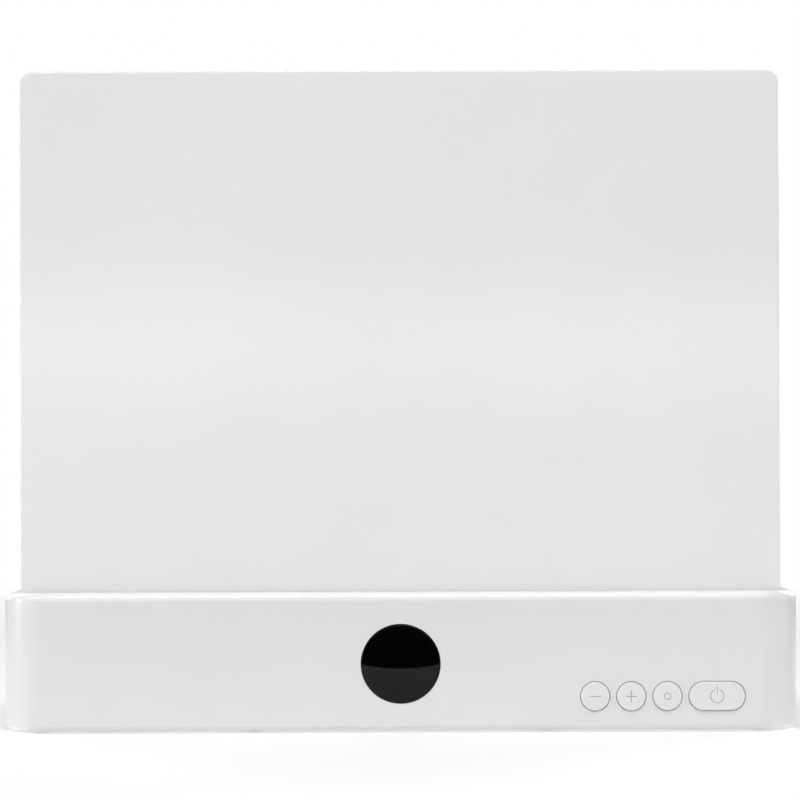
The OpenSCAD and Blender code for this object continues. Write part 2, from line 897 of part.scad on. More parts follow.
module control_screws() {
    color(steel)
        for (x = control_screws)
            translate([x, control_board_y + board_t, control_screw_z])
                rotate([-90, 0, 0])
                    board_screw(control_board_y + board_t - front_in);
}

module tact_switches() {
    bore_l = stem_l + key_travel;
    color(black_part)
        for (x = key_places)
            difference() {
                translate([x - switch_w / 2, switch_y, key_z - switch_w / 2])
                    cube([switch_w, switch_t, switch_w]);
                along_y(x, switch_y - past, key_z, stem_d / 2 + running_gap, bore_l + past);
            }
}

// What all four keys have behind their caps: a flange that keeps them in, a guided shank and a nub.
module key_back(x, flange_w) {
    flange_corner_r = 1;
    translate([x, key_flange_y + key_flange_t, key_z])
        rotate([90, 0, 0])
            rounded_slab(flange_w, key_flange_h, key_flange_t, flange_corner_r);
    along_y(x, key_shank_y, key_z, shank_d / 2, carrier_back - key_shank_y);
    along_y(x, carrier_back - join, key_z, nub_d / 2, nub_l + join);
}

key_shank_y = key_flange_y + key_flange_t - join;
key_cap_l = key_flange_y - front_y + key_proud;
key_edge = 0.4;

// A cap with round ends and a rounded front edge, standing on z = 0.
module pill_cap(w, d, h, edge) {
    run = (w - d) / 2;
    for (side = [0, 180])
        rotate([0, 0, side])
            translate([run, 0, 0])
                rotate([0, 0, -90])
                    rotate_extrude(angle = 180)
                        edge_profile(d / 2, h, edge);
    translate([-run, 0, 0])
        rotate([90, 0, 90])
            linear_extrude(2 * run) {
                edge_profile(d / 2, h, edge);
                mirror([1, 0])
                    edge_profile(d / 2, h, edge);
            }
}

module round_button(x) {
    color(white_shell) {
        translate([x, key_flange_y, key_z])
            rotate([90, 0, 0])
                rotate_extrude()
                    edge_profile(key_d / 2, key_cap_l, key_edge);
        key_back(x, key_flange_w);
    }
}

module minus_button() {
    round_button(minus_x);
}

module plus_button() {
    round_button(plus_x);
}

module mode_button() {
    round_button(mode_x);
}

module power_button() {
    color(white_shell) {
        translate([power_x, key_flange_y, key_z])
            rotate([90, 0, 0])
                pill_cap(power_w, key_d, key_cap_l, key_edge);
        key_back(power_x, power_flange_w);
        for (side = [-1, 1])
            along_y(power_x + side * power_post_dx, key_shank_y, key_z,
                power_post_d / 2, carrier_back - key_shank_y);
    }
}

module key_stem(x) {
    color("#dddddd")
        along_y(x, stem_y, key_z, stem_d / 2, stem_l);
}

module minus_stem() {
    key_stem(minus_x);
}

module plus_stem() {
    key_stem(plus_x);
}

module mode_stem() {
    key_stem(mode_x);
}

module power_stem() {
    key_stem(power_x);
}

// Driver board and what stands on it

module driver_board() {
    color(board_green)
        difference() {
            translate([0, (driver_front + driver_back) / 2, driver_z])
                rounded_slab(driver_w, driver_d, board_t, board_corner_r);
            for (place = driver_posts)
                translate([place.x, place.y, driver_z - past])
                    cylinder(r = board_hole_r, h = board_t + 2 * past);
        }
}

module driver_screws() {
    color(steel)
        for (place = driver_posts)
            translate([place.x, place.y, driver_top])
                board_screw(board_t + driver_post_h);
}

wound_parts_y = driver_back - 12;

module driver_capacitors() {
    can_d = 10;
    can_h = 16;
    can_edge = 0.8;
    can_pitch = 12;
    first_x = -34;
    color("#30343c")
        for (i = [0, 1])
            translate([first_x + i * can_pitch, wound_parts_y, driver_top])
                rotate_extrude()
                    edge_profile(can_d / 2, can_h, can_edge);
}

module driver_inductor() {
    rim_r = 7;
    core_r = 5.6;
    rim_t = 1.6;
    tall = 9;
    place_x = 22;
    color("#4a4037")
        translate([place_x, wound_parts_y, driver_top])
            rotate_extrude() {
                square([rim_r, rim_t]);
                square([core_r, tall]);
                translate([0, tall - rim_t])
                    square([rim_r, rim_t]);
            }
}

// A chip's place from the middle of the board's front edge, and its size
driver_chip_list = [
    [[0, 8], [10, 8, 1.8]],
    [[-10, 18], [6, 5, 1.5]],
    [[34, 23], [8, 10, 4.4]]];

module driver_chips() {
    color(black_part)
        for (chip = driver_chip_list) {
            place = chip[0];
            size = chip[1];
            translate([place.x - size.x / 2, driver_front + place.y - size.y / 2, driver_top])
                cube(size);
        }
}

module dc_jack() {
    color(black_part)
        difference() {
            translate([-socket_w / 2, driver_back - socket_l, driver_top])
                cube([socket_w, socket_l, socket_h]);
            along_y(0, driver_back - socket_bore_l, socket_z, socket_d / 2, socket_bore_l + past);
        }
}

module jack_pin() {
    tip = 0.4;
    color(steel)
        translate([0, driver_back - socket_bore_l, socket_z])
            rotate([-90, 0, 0])
                rotate_extrude()
                    edge_profile(socket_pin_d / 2, socket_pin_l, tip);
}

module board_connectors() {
    display_back = display_board_y + board_t;
    color("ivory") {
        translate([display_plug_x, display_back, display_plug_z - plug_h / 2])
            cube([plug_w, control_plug_y + plug_t - display_back, plug_h]);
        for (x = [control_plug_x, feed_plug_x])
            translate([x - plug_half, control_plug_y, control_plug_z - plug_h / 2])
                cube([plug_w, plug_t, plug_h]);
        translate([panel_plug_x - plug_half, panel_plug_y - plug_h / 2, driver_top])
            cube([plug_w, plug_h, plug_t]);
        translate([driver_plug_end - plug_h, driver_plug_y - plug_half, driver_top])
            cube([plug_h, plug_w, plug_t]);
        translate([panel_plug_x - plug_half, spreader_back + strip_t, feed_plug_z])
            cube([plug_w, plug_t, plug_h]);
    }
}

// Leads: each runs from one connector's face to another's.

module panel_lead() {
    bend_r = 4;
    turn_z = panel_foot - 6;
    color("#202020")
        routed_lead([
            [panel_plug_x, panel_plug_y, driver_top + plug_t],
            [panel_plug_x, panel_plug_y, turn_z],
            [panel_plug_x, lead_panel_y, turn_z],
            [panel_plug_x, lead_panel_y, feed_plug_z]], lead_d, bend_r);
}

module control_lead() {
    bend_r = 8;
    start_y = control_plug_y + plug_t;
    color("#202020")
        routed_lead([
            [feed_plug_x, start_y, control_plug_z],
            [feed_plug_x, driver_plug_y, control_plug_z],
            [driver_plug_end, driver_plug_y, control_plug_z]], lead_d, bend_r);
}

module display_lead() {
    bend_r = 3;
    y = control_plug_y + plug_t / 2;
    start = display_plug_x + plug_w;
    end = control_plug_x - plug_half;
    turn_x = (start + end) / 2;
    color("#202020")
        routed_lead([
            [start, y, display_plug_z],
            [turn_x, y, display_plug_z],
            [turn_x, y, control_plug_z],
            [end, y, control_plug_z]], lead_d, bend_r);
}

// Brackets between the panel and the base

bracket_hole_r = bracket_screw_d / 2 + screw_gap;

module panel_bracket(x) {
    bend_r = 1;
    outer_r = bend_r + bracket_t;
    leg_y = panel_back;
    leg_z = panel_foot - bracket_t;
    color(steel)
        difference() {
            translate([x - bracket_w / 2, leg_y, leg_z])
                rotate([90, 0, 90])
                    linear_extrude(bracket_w) {
                        translate([0, outer_r])
                            square([bracket_t, bracket_t + bracket_rise - outer_r]);
                        translate([outer_r, 0])
                            square([bracket_reach - outer_r, bracket_t]);
                        translate([outer_r, outer_r])
                            intersection() {
                                difference() {
                                    circle(r = outer_r);
                                    circle(r = bend_r);
                                }
                                translate([-outer_r, -outer_r])
                                    square(outer_r);
                            }
                    }
            for (dx = [-bracket_hole_dx, bracket_hole_dx]) {
                along_y(x + dx, leg_y - past, bracket_screw_z, bracket_hole_r, bracket_t + 2 * past);
                translate([x + dx, bracket_boss_y, leg_z - past])
                    cylinder(d = screw_d + 2 * screw_gap, h = bracket_t + 2 * past);
            }
        }
}

module panel_bracket_left() {
    panel_bracket(-bracket_x);
}

module panel_bracket_right() {
    panel_bracket(bracket_x);
}

module bracket_screws() {
    color(steel)
        for (x = bracket_holes)
            translate([x, panel_back + bracket_t, bracket_screw_z])
                rotate([-90, 0, 0])
                    pan_screw(bracket_screw_d, bracket_screw_l, bracket_head_d, bracket_head_h);
}

module bracket_base_screws() {
    color(steel)
        for (x = bracket_holes)
            translate([x, bracket_boss_y, panel_foot - bracket_t])
                rotate([180, 0, 0])
                    pan_screw(screw_d, base_screw_l, screw_head_d, screw_head_h);
}

module clinch_nuts() {
    nut_d = 8;
    nut_l = 3;
    color(steel)
        for (x = bracket_holes)
            difference() {
                along_y(x, spreader_y - nut_l, bracket_screw_z, nut_d / 2, nut_l);
                along_y(x, spreader_y - nut_l - past, bracket_screw_z, bracket_hole_r, nut_l + 2 * past);
            }
}

// Panel: the diffuser is a tray, open to the back

module panel_diffuser() {
    depth = panel_t - cover_depth;
    r = panel_corner_r;
    boss_l = cover_seat_y - sheet_y;
    hole_floor = 1;
    color("white")
        difference() {
            union() {
                translate([0, seam_y, panel_mid_z])
                    rotate([90, 0, 0]) {
                        translate([-panel_w / 2 + r, -panel_tall / 2 + r, depth - diffuser_t])
                            cube([panel_w - 2 * r, panel_tall - 2 * r, diffuser_t]);
                        swept_rim(panel_w, panel_tall, r)
                            intersection() {
                                edge_profile(r, depth, panel_edge_r, seam_chamfer);
                                union() {
                                    translate([r - diffuser_wall, 0])
                                        square([diffuser_wall, depth]);
                                    translate([0, depth - diffuser_t])
                                        square([r, diffuser_t]);
                                }
                            }
                    }
                for (place = cover_screws)
                    along_y(place[0], sheet_y - join, place[1], cover_boss_r, boss_l + join);
            }
            for (place = cover_screws)
                along_y(place[0], sheet_y + hole_floor, place[1], screw_d / 2 + screw_gap, boss_l + past);
            lead_notch();
        }
}

// Where the panel's lead passes the foot of the diffuser and of the rear cover
module lead_notch() {
    notch_d = lead_d + 2;
    notch_h = 7;
    translate([panel_plug_x, lead_panel_y, panel_foot - past])
        cylinder(d = notch_d, h = notch_h + past);
}

module stack_layer(y, t) {
    translate([-guide_half, y, stack_foot])
        cube([2 * guide_half, t, stack_top - stack_foot]);
}

module diffuser_sheet() {
    color("ghostwhite")
        stack_layer(sheet_y, sheet_t);
}

module light_guide() {
    color("azure")
        stack_layer(guide_y, guide_t);
}

module reflector_sheet() {
    color("snow")
        stack_layer(reflector_y, reflector_t);
}

module heat_spreader() {
    flange_y = sheet_y + free_gap;
    flange_l = strip_top - strip_foot;
    plate_h = stack_top - spreader_foot;
    color("lightgray")
        difference() {
            union() {
                translate([0, spreader_back, (spreader_foot + stack_top) / 2])
                    rotate([90, 0, 0])
                        rounded_slab(2 * spreader_half, plate_h, spreader_t, spreader_corner_r);
                for (x = [-spreader_half, spreader_half - spreader_t])
                    translate([x, flange_y, strip_foot])
                        cube([spreader_t, spreader_y - flange_y + join, flange_l]);
            }
            for (place = cover_screws)
                along_y(place[0], spreader_y - past, place[1], cover_boss_r + cover_boss_gap,
                    spreader_t + 2 * past);
            for (x = bracket_holes)
                along_y(x, spreader_y - past, bracket_screw_z, bracket_hole_r, spreader_t + 2 * past);
        }
}

module led_strips() {
    strip_h = guide_t + strip_over;
    color(board_green)
        for (x = [-strip_x - strip_t, strip_x])
            translate([x, guide_y + (guide_t - strip_h) / 2, strip_foot])
                cube([strip_t, strip_h, strip_top - strip_foot]);
}

module led_packages() {
    led_w = 2.4;
    led_l = 3;
    count = floor((strip_top - strip_foot - led_l) / led_pitch);
    color("lemonchiffon")
        for (side = [-1, 1], i = [0:count])
            translate([side * (led_x + led_h / 2), guide_y + guide_t / 2,
                (strip_foot + strip_top) / 2 + (i - count / 2) * led_pitch])
                cube([led_h, led_w, led_l], center = true);
}

module led_feed_strip() {
    half = spreader_half - 6;
    color(board_green)
        translate([-half, spreader_back, strip_feed_z])
            cube([2 * half, strip_t, strip_feed_h]);
}

// Slots in two rows let air rise behind the heat spreader.
module cover_vents() {
    margin = 45;
    row_inset = 24;
    count = floor((panel_w - 2 * margin) / vent_pitch);
    for (z = [base_top + row_inset, panel_top - row_inset], i = [0:count])
        translate([(i - count / 2) * vent_pitch, cover_in - past, z]) {
            translate([-vent_w / 2, 0, -(vent_l - vent_w) / 2])
                cube([vent_w, cover_wall + 2 * past, vent_l - vent_w]);
            for (end = [-1, 1])
                along_y(0, 0, end * (vent_l - vent_w) / 2, vent_w / 2, cover_wall + 2 * past);
        }
}

// Posts on the rear cover press the stack together.
module cover_posts() {
    post_d = 5;
    middle = (stack_foot + stack_top) / 2;
    step_x = panel_w / 3;
    step_z = (stack_top - stack_foot) / 4;
    post_l = cover_in - spreader_back + join;
    for (i = [-1:1], k = [-1:1])
        along_y(i * step_x, spreader_back, middle + k * step_z, post_d / 2, post_l);
}

module panel_rear_cover() {
    r = panel_corner_r;
    lip_x = r - diffuser_wall - lip_gap - lip_t;
    head_r = screw_head_d / 2 + free_gap;
    tube_r = 3.4;
    tube_l = cover_in - spreader_back + join;
    seat_r = cover_boss_r + cover_boss_gap;
    color(white_shell)
        difference() {
            union() {
                translate([0, seam_y, panel_mid_z])
                    rotate([-90, 0, 0]) {
                        translate([-panel_w / 2 + r, -panel_tall / 2 + r, cover_depth - cover_wall])
                            cube([panel_w - 2 * r, panel_tall - 2 * r, cover_wall]);
                        swept_rim(panel_w, panel_tall, r) {
                            intersection() {
                                edge_profile(r, cover_depth, cover_edge_r, seam_chamfer);
                                union() {
                                    translate([lip_x, 0])
                                        square([r - lip_x, cover_depth]);
                                    translate([0, cover_depth - cover_wall])
                                        square([r, cover_wall]);
                                }
                            }
                            translate([lip_x, -lip_depth])
                                square([lip_t, lip_depth]);
                        }
                    }
                for (place = cover_screws)
                    along_y(place[0], cover_seat_y, place[1], seat_r, cover_seat_t + join);
                for (x = bracket_holes)
                    along_y(x, spreader_back, bracket_screw_z, tube_r, tube_l);
                cover_posts();
            }
            for (place = cover_screws) {
                along_y(place[0], cover_seat_y - past, place[1], screw_d / 2 + free_gap,
                    panel_back - cover_seat_y + 2 * past);
                along_y(place[0], cover_head_y, place[1], head_r, screw_head_h + past);
            }
            for (x = bracket_holes)
                along_y(x, spreader_back - past, bracket_screw_z, bracket_hole_r,
                    panel_back - spreader_back + 2 * past);
            cover_vents();
            lead_notch();
        }
}

module panel_screws() {
    color(steel)
        for (place = cover_screws)
            translate([place[0], cover_head_y, place[1]])
                rotate([-90, 0, 0])
                    pan_screw(screw_d, cover_screw_l, screw_head_d, screw_head_h);
}

base_housing();
base_bottom();
ballast_plates();
rubber_feet();
base_screws();
display_window();
window_gasket();
display_shroud();
display_module();
display_board();
display_screws();
button_carrier();
control_board();
control_screws();
tact_switches();
minus_button();
plus_button();
mode_button();
power_button();
minus_stem();
plus_stem();
mode_stem();
power_stem();
driver_board();
driver_screws();
driver_capacitors();
driver_inductor();
driver_chips();
dc_jack();
jack_pin();
board_connectors();
panel_lead();
control_lead();
display_lead();
panel_bracket_left();
panel_bracket_right();
bracket_screws();
bracket_base_screws();
clinch_nuts();
panel_diffuser();
diffuser_sheet();
light_guide();
reflector_sheet();
heat_spreader();
led_strips();
led_packages();
led_feed_strip();
panel_rear_cover();
panel_screws();
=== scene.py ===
# Reading lamp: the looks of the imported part, built in the part's own frame. Lengths are in metres.
import math

import bmesh
import bpy
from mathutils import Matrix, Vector


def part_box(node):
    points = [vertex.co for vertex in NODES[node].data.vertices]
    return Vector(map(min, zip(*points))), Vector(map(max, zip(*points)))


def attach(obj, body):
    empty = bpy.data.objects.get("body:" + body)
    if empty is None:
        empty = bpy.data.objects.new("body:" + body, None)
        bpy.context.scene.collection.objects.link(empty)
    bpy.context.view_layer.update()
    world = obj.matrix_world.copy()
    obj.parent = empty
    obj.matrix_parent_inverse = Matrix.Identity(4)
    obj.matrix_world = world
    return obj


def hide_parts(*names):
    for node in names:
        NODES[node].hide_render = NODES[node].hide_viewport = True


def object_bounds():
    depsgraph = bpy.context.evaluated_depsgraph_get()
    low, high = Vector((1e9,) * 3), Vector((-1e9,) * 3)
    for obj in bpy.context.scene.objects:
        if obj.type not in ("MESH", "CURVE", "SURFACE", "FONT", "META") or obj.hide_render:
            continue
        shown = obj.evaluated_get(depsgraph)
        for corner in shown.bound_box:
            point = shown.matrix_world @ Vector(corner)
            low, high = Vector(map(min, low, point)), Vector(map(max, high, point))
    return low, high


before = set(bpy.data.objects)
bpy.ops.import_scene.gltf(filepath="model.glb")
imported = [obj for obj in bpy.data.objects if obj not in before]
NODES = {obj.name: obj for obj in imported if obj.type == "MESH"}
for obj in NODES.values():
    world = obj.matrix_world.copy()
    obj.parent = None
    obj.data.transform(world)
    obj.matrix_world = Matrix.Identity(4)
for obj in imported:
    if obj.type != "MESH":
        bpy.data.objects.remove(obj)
CAD_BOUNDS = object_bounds()
MM = 0.001


# Node materials

WHITE = (1.0, 1.0, 1.0)
BEVEL_SAMPLES = 4
# Cosines of the turns at which an edge starts to be glossed and lightened, as wear and as a painted
# highlight, and fully is
EDGE_TURN = (0.995, 0.85)
SMEAR_SCALE = 38.0
SMEAR_SPAN = (0.3, 0.7)
MOTTLE_SCALE = 9.0
MOTTLE_SPAN = (0.35, 0.65)


def add(tree, kind, inputs=None, **settings):
    """A new shader node with its settings and sockets. A socket takes a value or another node's output."""
    made = tree.nodes.new(kind)
    for key, value in settings.items():
        setattr(made, key, value)
    for key, value in (inputs or {}).items():
        if isinstance(value, bpy.types.NodeSocket):
            tree.links.new(value, made.inputs[key])
        else:
            made.inputs[key].default_value = value
    return made


def remap(tree, value, span, to=(0.0, 1.0)):
    """value mapped from one span to another and kept inside it."""
    made = add(tree, "ShaderNodeMapRange", {
        "Value": value, "From Min": span[0], "From Max": span[1], "To Min": to[0], "To Max": to[1]})
    return made.outputs["Result"]


def combine(tree, operation, a, b):
    return add(tree, "ShaderNodeMath", {0: a, 1: b}, operation=operation).outputs[0]


def combine_vectors(tree, operation, *vectors, result="Vector"):
    return add(tree, "ShaderNodeVectorMath", dict(enumerate(vectors)), operation=operation).outputs[result]


def blend_colour(tree, factor, a, b):
    made = add(tree, "ShaderNodeMix", data_type="RGBA")
    for socket, value in (("Factor_Float", factor), ("A_Color", a), ("B_Color", b)):
        place = next(s for s in made.inputs if s.identifier == socket)
        if isinstance(value, bpy.types.NodeSocket):
            tree.links.new(value, place)
        else:
            place.default_value = value
    return next(s for s in made.outputs if s.identifier == "Result_Color")


def grey(shade):
    return (shade, shade, shade)


def rgba(colour, gain=1.0):
    return (colour[0] * gain, colour[1] * gain, colour[2] * gain, 1.0)


def surface_group():
    """What all finishes share: a fine grain, uneven gloss, and edges that are a little rounded, glossier,
    and lightened as wear and as a painted highlight.
    """
    tree = bpy.data.node_groups.new("surface", "ShaderNodeTree")
    for name, value in (
        ("Grain scale", 3000.0), ("Grain depth", 4e-6), ("Roughness", 0.4), ("Spread", 0.05),
        ("Edge radius", 3e-4), ("Edge gloss", 0.05),
    ):
        tree.interface.new_socket(name, in_out="INPUT", socket_type="NodeSocketFloat").default_value = value
    for name, kind in (("Normal", "Vector"), ("Roughness", "Float"), ("Edge", "Float"), ("Mottle", "Float")):
        tree.interface.new_socket(name, in_out="OUTPUT", socket_type="NodeSocket" + kind)
    asked = add(tree, "NodeGroupInput").outputs
    place = add(tree, "ShaderNodeTexCoord").outputs["Object"]

    bevel = add(tree, "ShaderNodeBevel", {"Radius": asked["Edge radius"]}, samples=BEVEL_SAMPLES)
    rounded = bevel.outputs["Normal"]
    flat = add(tree, "ShaderNodeNewGeometry").outputs["Normal"]
    edge = remap(tree, combine_vectors(tree, "DOT_PRODUCT", rounded, flat, result="Value"), EDGE_TURN)

    grain = add(tree, "ShaderNodeTexNoise", {
        "Vector": place, "Scale": asked["Grain scale"], "Detail": 3.0, "Roughness": 0.6}).outputs["Fac"]
    normal = add(tree, "ShaderNodeBump", {
        "Distance": asked["Grain depth"], "Height": grain, "Normal": rounded}).outputs["Normal"]

    smears = add(tree, "ShaderNodeTexNoise", {
        "Vector": place, "Scale": SMEAR_SCALE, "Detail": 5.0, "Roughness": 0.62,
        "Distortion": 0.4}).outputs["Fac"]
    uneven = combine(tree, "MULTIPLY", remap(tree, smears, SMEAR_SPAN, (-1.0, 1.0)), asked["Spread"])
    polished = combine(tree, "MULTIPLY", edge, asked["Edge gloss"])
    roughness = combine(tree, "SUBTRACT", combine(tree, "ADD", asked["Roughness"], uneven), polished)
    clouds = add(tree, "ShaderNodeTexNoise", {"Vector": place, "Scale": MOTTLE_SCALE, "Detail": 3.0})
    mottle = remap(tree, clouds.outputs["Fac"], MOTTLE_SPAN)
    add(tree, "NodeGroupOutput", {
        "Normal": normal, "Roughness": roughness, "Edge": edge, "Mottle": mottle})
    return tree


SURFACE = surface_group()


class Finish:
    """A node material on the shared surface.

    grain is the scale and depth of the grain, spread how far the roughness drifts, and edge the radius and
    the gloss of worn edges. tint is how much the colour darkens in places, and the wear figure how much
    edges lighten toward white, partly as wear and partly as a painted highlight along the rims.
    """

    def __init__(self, name, colour, roughness, grain=(3000.0, 4e-6), spread=0.05, edge=(3e-4, 0.05),
                 tint=0.02, wear_and_highlight=0.04, metallic=0.0, specular=0.5):
        self.material = bpy.data.materials.new(name + "_finish")
        self.material.use_nodes = True
        self.tree = self.material.node_tree
        self.shader = self.tree.nodes["Principled BSDF"].inputs
        self.surface = add(self.tree, "ShaderNodeGroup", node_tree=SURFACE)
        for socket, value in (
            ("Grain scale", grain[0]), ("Grain depth", grain[1]), ("Roughness", roughness),
            ("Spread", spread), ("Edge radius", edge[0]), ("Edge gloss", edge[1]),
        ):
            self.surface.inputs[socket].default_value = value
        out = self.surface.outputs
        drift = blend_colour(self.tree, out["Mottle"], rgba(colour, 1 - tint), rgba(colour))
        # Edges lighten toward white: wear, and a painted highlight along the rims.
        worn_and_highlit = combine(self.tree, "MULTIPLY", out["Edge"], wear_and_highlight)
        self.colour = blend_colour(self.tree, worn_and_highlit, drift, rgba(WHITE))
        self.feed("Base Color", self.colour)
        self.feed("Roughness", out["Roughness"])
        self.feed("Normal", out["Normal"])
        self.shader["Base Color"].default_value = rgba(colour)
        self.shader["Roughness"].default_value = roughness
        self.shader["Metallic"].default_value = metallic
        self.shader["Specular IOR Level"].default_value = specular

    def feed(self, socket, value):
        self.tree.links.new(value, self.shader[socket])

    def place(self):
        return add(self.tree, "ShaderNodeTexCoord").outputs["Object"]

    def relief(self, height, depth):
        """Adds a second, coarser relief on top of the surface's own."""
        made = add(self.tree, "ShaderNodeBump", {
            "Distance": depth, "Height": height, "Normal": self.surface.outputs["Normal"]})
        self.feed("Normal", made.outputs["Normal"])


def white_shell():
    """Satin moulding. Its roughness and the keys' stay clear of 0.27, where renders show patches."""
    # The strong edge lightening here is a painted highlight: a white ring round the rims of the bores and
    # other sharp edges.
    return Finish("white_shell", grey(0.74), 0.24, grain=(3600.0, 5e-6), spread=0.02, wear_and_highlight=0.3)


ENGRAVED = "engraved"
# Grey painted into the grooves of the keys' signs as their shade
GROOVE_SHADE_GREY = grey(0.38)


def key_white():
    """Satin keys, whose engraved signs are painted grey in their grooves as shade."""
    # The edge lightening here is partly a painted highlight along the keys' rims and partly wear.
    finish = Finish("key_white", grey(0.747), 0.34, grain=(4200.0, 3e-6), spread=0.02, wear_and_highlight=0.25)
    groove = add(finish.tree, "ShaderNodeAttribute", attribute_name=ENGRAVED).outputs["Fac"]
    finish.feed("Base Color", blend_colour(finish.tree, groove, finish.colour, rgba(GROOVE_SHADE_GREY)))
    return finish


def opal_diffuser():
    finish = Finish("opal_diffuser", grey(0.826), 0.13, grain=(3300.0, 3e-6), spread=0.02, wear_and_highlight=0.06)
    finish.shader["Subsurface Weight"].default_value = 0.15
    finish.shader["Subsurface Radius"].default_value = WHITE
    finish.shader["Subsurface Scale"].default_value = 0.0025
    return finish


def window_black():
    return Finish("window_black", (0.0012, 0.0012, 0.0013), 0.03, grain=(900.0, 1e-7), spread=0.012,
                  edge=(2e-4, 0.0), tint=0.1, wear_and_highlight=0.002, specular=0.23)


MARKS_ACROSS = 1400.0
MARKS_ALONG = 30.0


def brushed(finish, along, depth):
    """Fine parallel marks that run along one axis."""
    stretch = [MARKS_ACROSS, MARKS_ACROSS, MARKS_ACROSS]
    stretch[along] = MARKS_ALONG
    stretched = combine_vectors(finish.tree, "MULTIPLY", finish.place(), stretch)
    marks = add(finish.tree, "ShaderNodeTexNoise", {
        "Vector": stretched, "Scale": 1.0, "Detail": 4.0, "Roughness": 0.7})
    finish.relief(marks.outputs["Fac"], depth)
    return finish


def circuit_board():
    finish = Finish("circuit_board", (0.012, 0.11, 0.045), 0.34, grain=(1500.0, 3e-6), wear_and_highlight=0.0)
    tracks = add(finish.tree, "ShaderNodeTexBrick", {
        "Vector": finish.place(), "Scale": 160.0, "Mortar Size": 0.06, "Mortar Smooth": 0.3,
        "Brick Width": 1.7, "Row Height": 0.35}, offset=0.37)
    copper = blend_colour(finish.tree, tracks.outputs["Fac"], finish.colour, rgba((0.03, 0.19, 0.07)))
    finish.feed("Base Color", copper)
    finish.relief(tracks.outputs["Fac"], 3.5e-5)
    return finish


def gasket_foam():
    finish = Finish("gasket_foam", (0.03, 0.03, 0.032), 0.9, wear_and_highlight=0.02)
    cells = add(finish.tree, "ShaderNodeTexVoronoi", {"Vector": finish.place(), "Scale": 2200.0})
    finish.relief(cells.outputs["Distance"], 1.2e-4)
    return finish


DOT_SPAN = (0.2, 0.35)


def clear_acrylic():
    """Clear sheet with rows of shallow dots, which spread the light."""
    finish = Finish("clear_acrylic", (0.95, 0.97, 0.97), 0.06, grain=(800.0, 5e-7), spread=0.02, wear_and_highlight=0.0)
    finish.shader["Transmission Weight"].default_value = 1.0
    finish.shader["IOR"].default_value = 1.49
    dots = add(finish.tree, "ShaderNodeTexVoronoi", {
        "Vector": finish.place(), "Scale": 420.0, "Randomness": 0.0})
    finish.relief(remap(finish.tree, dots.outputs["Distance"], DOT_SPAN), 5e-5)
    return finish


def led_phosphor():
    finish = Finish("led_phosphor", (0.85, 0.72, 0.2), 0.45, grain=(6000.0, 1e-5), tint=0.08)
    finish.shader["Subsurface Weight"].default_value = 0.3
    finish.shader["Subsurface Scale"].default_value = 0.0006
    return finish


CAPACITOR_CAP = 0.3 * MM


def capacitor_sleeve():
    """Dark sleeves with bare metal tops."""
    finish = Finish("capacitor_sleeve", (0.02, 0.024, 0.035), 0.32, grain=(1200.0, 4e-6), wear_and_highlight=0.02)
    height = add(finish.tree, "ShaderNodeSeparateXYZ", {"Vector": finish.place()}).outputs["Z"]
    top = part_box("driver_capacitors")[1].z
    cap = combine(finish.tree, "GREATER_THAN", height, top - CAPACITOR_CAP)
    finish.feed("Base Color", blend_colour(finish.tree, cap, finish.colour, rgba((0.7, 0.7, 0.72))))
    finish.feed("Metallic", cap)
    return finish


def display_face():
    finish = Finish("display_face", (0.03, 0.03, 0.032), 0.25, grain=(1800.0, 2e-6), wear_and_highlight=0.01)
    bars = add(finish.tree, "ShaderNodeTexBrick", {
        "Vector": finish.place(), "Scale": 210.0, "Mortar Size": 0.12, "Brick Width": 1.1,
        "Row Height": 0.9})
    finish.feed("Base Color", blend_colour(
        finish.tree, bars.outputs["Fac"], rgba(grey(0.16)), finish.colour))
    return finish


FINISHES = {
    "white_shell": white_shell,
    "key_white": key_white,
    "opal_diffuser": opal_diffuser,
    "window_black": window_black,
    "circuit_board": circuit_board,
    "gasket_foam": gasket_foam,
    "clear_acrylic": clear_acrylic,
    "led_phosphor": led_phosphor,
    "capacitor_sleeve": capacitor_sleeve,
    "display_face": display_face,
    "black_moulding": lambda: Finish(
        "black_moulding", (0.012, 0.012, 0.013), 0.42, grain=(2800.0, 8e-6), spread=0.08, wear_and_highlight=0.03),
    "carrier_grey": lambda: Finish("carrier_grey", (0.55, 0.55, 0.54), 0.5, grain=(2600.0, 8e-6)),
    "plunger_white": lambda: Finish("plunger_white", (0.72, 0.72, 0.7), 0.38, spread=0.06),
    "foot_rubber": lambda: Finish(
        "foot_rubber", (0.018, 0.018, 0.019), 0.78, grain=(1700.0, 3e-5), spread=0.1, wear_and_highlight=0.03),
    "plated_steel": lambda: brushed(Finish(
        "plated_steel", (0.62, 0.62, 0.6), 0.27, grain=(2000.0, 4e-6), spread=0.08, metallic=1.0), 2, 3e-6),
    "bracket_steel": lambda: brushed(Finish(
        "bracket_steel", (0.55, 0.55, 0.56), 0.38, spread=0.1, metallic=1.0), 0, 5e-6),
    "ballast_steel": lambda: Finish(
        "ballast_steel", (0.36, 0.35, 0.34), 0.52, grain=(700.0, 3e-5), spread=0.14, tint=0.2, metallic=1.0),
    "spreader_aluminium": lambda: brushed(Finish(
        "spreader_aluminium", (0.78, 0.78, 0.79), 0.35, spread=0.08, metallic=1.0), 0, 5e-6),
    "ferrite": lambda: Finish(
        "ferrite", (0.045, 0.04, 0.037), 0.66, grain=(1900.0, 3e-5), spread=0.1, tint=0.15),
    "connector_ivory": lambda: Finish("connector_ivory", (0.72, 0.66, 0.5), 0.42, grain=(2400.0, 6e-6)),
    "lead_jacket": lambda: Finish(
        "lead_jacket", (0.014, 0.014, 0.015), 0.48, grain=(1500.0, 1e-5), spread=0.1),
    "white_film": lambda: Finish("white_film", grey(0.88), 0.5, grain=(5200.0, 3e-6), spread=0.04),
}
MATERIALS = {slot: build().material for slot, build in FINISHES.items()}

